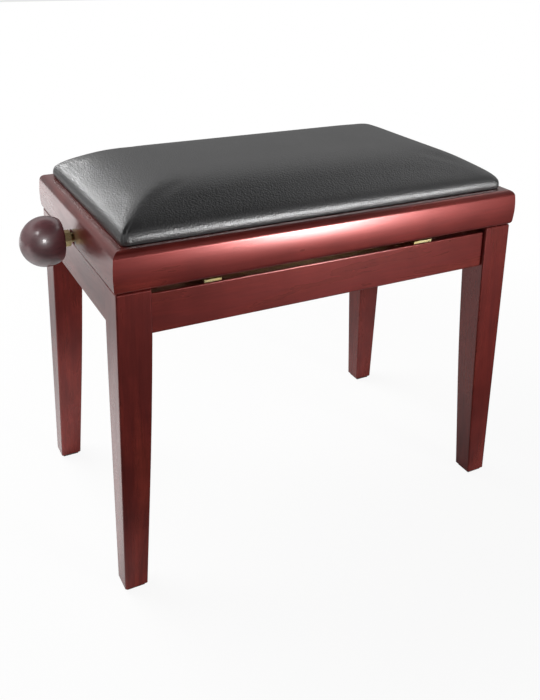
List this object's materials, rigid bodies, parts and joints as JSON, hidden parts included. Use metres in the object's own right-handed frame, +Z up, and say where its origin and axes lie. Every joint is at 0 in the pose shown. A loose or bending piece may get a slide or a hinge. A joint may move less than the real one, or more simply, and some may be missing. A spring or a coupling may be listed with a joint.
{
  "type": "adjustable piano bench",
  "caption": "Upholstered piano bench on square tapered legs; a side knob turns a spindle that lifts the seat on crossed arms.",
  "frame": {"origin": "on the floor, under the middle of the whole part's box, knob included; the seat frame's middle is 31.3 mm towards +X", "axes": "+X along the seat away from the knob, +Y from front to rear, +Z up"},
  "size_m": [0.6226, 0.331, 0.487],
  "materials": {
    "mahogany": "red-brown stain under semi-gloss lacquer",
    "knob_lacquer": "dark stain under high-gloss lacquer",
    "block_wood": "raw hardwood",
    "plywood": "raw veneer",
    "black_vinyl": "fine pebble grain, satin",
    "foam": "open foam",
    "glide_plastic": "dull moulded plastic",
    "yellow_zinc": "yellow passivated zinc plate",
    "bright_steel": "bright zinc plate",
    "nylon": "natural nylon"
  },
  "bodies": {
    "base": {"leg_front_left": "mahogany", "leg_front_right": "mahogany", "leg_rear_left": "mahogany", "leg_rear_right": "mahogany", "apron_front": "mahogany", "apron_rear": "mahogany", "apron_left": "mahogany", "apron_right": "mahogany", "apron_dowels": "block_wood", "corner_blocks": "block_wood", "leg_bolts": "bright_steel", "leg_washers": "bright_steel", "foot_pads": "glide_plastic", "base_pivot_bracket_front": "yellow_zinc", "base_pivot_bracket_rear": "yellow_zinc", "base_slide_bracket_front": "yellow_zinc", "base_slide_bracket_rear": "yellow_zinc", "base_bracket_screws": "yellow_zinc"},
    "seat": {"seat_rail_front": "mahogany", "seat_rail_rear": "mahogany", "seat_rail_left": "mahogany", "seat_rail_right": "mahogany", "seat_corner_blocks": "block_wood", "seat_board": "plywood", "seat_board_screws": "yellow_zinc", "foam_pad": "foam", "seat_cover": "black_vinyl", "seat_angle_front": "yellow_zinc", "seat_angle_rear": "yellow_zinc", "seat_angle_screws": "yellow_zinc", "seat_pivot_pins": "yellow_zinc", "spindle_bearing_bracket": "yellow_zinc", "spindle_tail_bracket": "yellow_zinc", "spindle_bearing_bush": "nylon", "spindle_tail_bush": "nylon", "spindle_bracket_screws": "yellow_zinc"},
    "arms_a": {"arm_a_front": "yellow_zinc", "arm_a_rear": "yellow_zinc", "centre_pins": "yellow_zinc", "base_pivot_shaft": "yellow_zinc", "pivot_shaft_clips": "yellow_zinc"},
    "arms_b": {"arm_b_front": "yellow_zinc", "arm_b_rear": "yellow_zinc", "lower_slide_shaft": "yellow_zinc", "slide_shaft_clips": "yellow_zinc"},
    "nut": {"nut_bar": "yellow_zinc", "nut_bar_clips": "yellow_zinc"},
    "spindle": {"spindle_rod": "yellow_zinc", "knob": "knob_lacquer", "lock_nut": "yellow_zinc", "thrust_collars": "bright_steel", "tail_nut": "yellow_zinc"}
  },
  "joints": [
    {"name": "seat_lift", "type": "slide", "parent": "base", "child": "seat", "axis": [0, 0, 1], "range_m": [0, 0.08]},
    {"name": "spindle_turn", "type": "hinge", "parent": "seat", "child": "spindle", "pos_m": [-0.1287, 0, 0.399], "axis": [1, 0, 0], "range_deg": [0, 3982]},
    {"name": "arms_a_swing", "type": "hinge", "parent": "base", "child": "arms_a", "pos_m": [-0.1287, 0, 0.369], "axis": [0, -1, 0], "range_deg": [0, 15.8]},
    {"name": "arms_b_swing", "type": "hinge", "parent": "seat", "child": "arms_b", "pos_m": [-0.1287, 0, 0.399], "axis": [0, 1, 0], "range_deg": [0, 15.8]},
    {"name": "nut_level", "type": "hinge", "parent": "arms_a", "child": "nut", "pos_m": [0.1678, 0, 0.399], "axis": [0, 1, 0], "range_deg": [0, 15.8]}
  ],
  "couplings": [
    {"joint": "spindle_turn", "follows": "seat_lift", "rad_per_m": 868.62},
    {"joint": "arms_a_swing", "follows": "seat_lift", "rad_per_m": 3.4451},
    {"joint": "arms_b_swing", "follows": "seat_lift", "rad_per_m": 3.4451},
    {"joint": "nut_level", "follows": "seat_lift", "rad_per_m": 3.4451}
  ]
}
